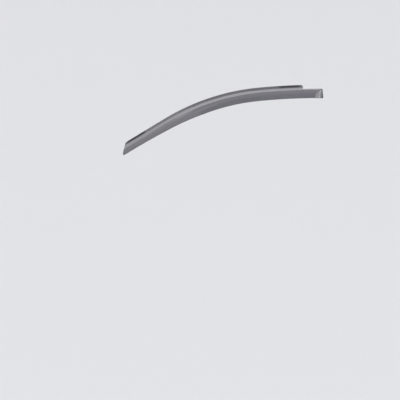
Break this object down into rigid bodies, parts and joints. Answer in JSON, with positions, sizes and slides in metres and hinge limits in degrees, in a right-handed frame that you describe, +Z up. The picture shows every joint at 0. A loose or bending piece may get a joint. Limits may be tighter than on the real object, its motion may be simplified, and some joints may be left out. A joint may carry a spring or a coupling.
{
  "type": "window rain deflector",
  "caption": "Smoke-tinted acrylic rain deflector for a car's front door window: long arched blade with a hidden channel flange, a closed tail and strips of mounting tape.",
  "frame": {"origin": "middle of the rear tape's adhesive face, which bonds to the inside of the window channel's outer lip", "axes": "+X rearward along the door, +Z up in the door's own plane, -Y outboard, square to the rear tape"},
  "size_m": [0.8127, 0.0567, 0.2841],
  "materials": {
    "smoke_acrylic": "polished smoke-tinted acrylic",
    "foam_tape": "matt foam tape"
  },
  "bodies": {
    "root": {"deflector": "smoke_acrylic", "front_tape": "foam_tape", "rear_tape": "foam_tape"}
  },
  "joints": []
}
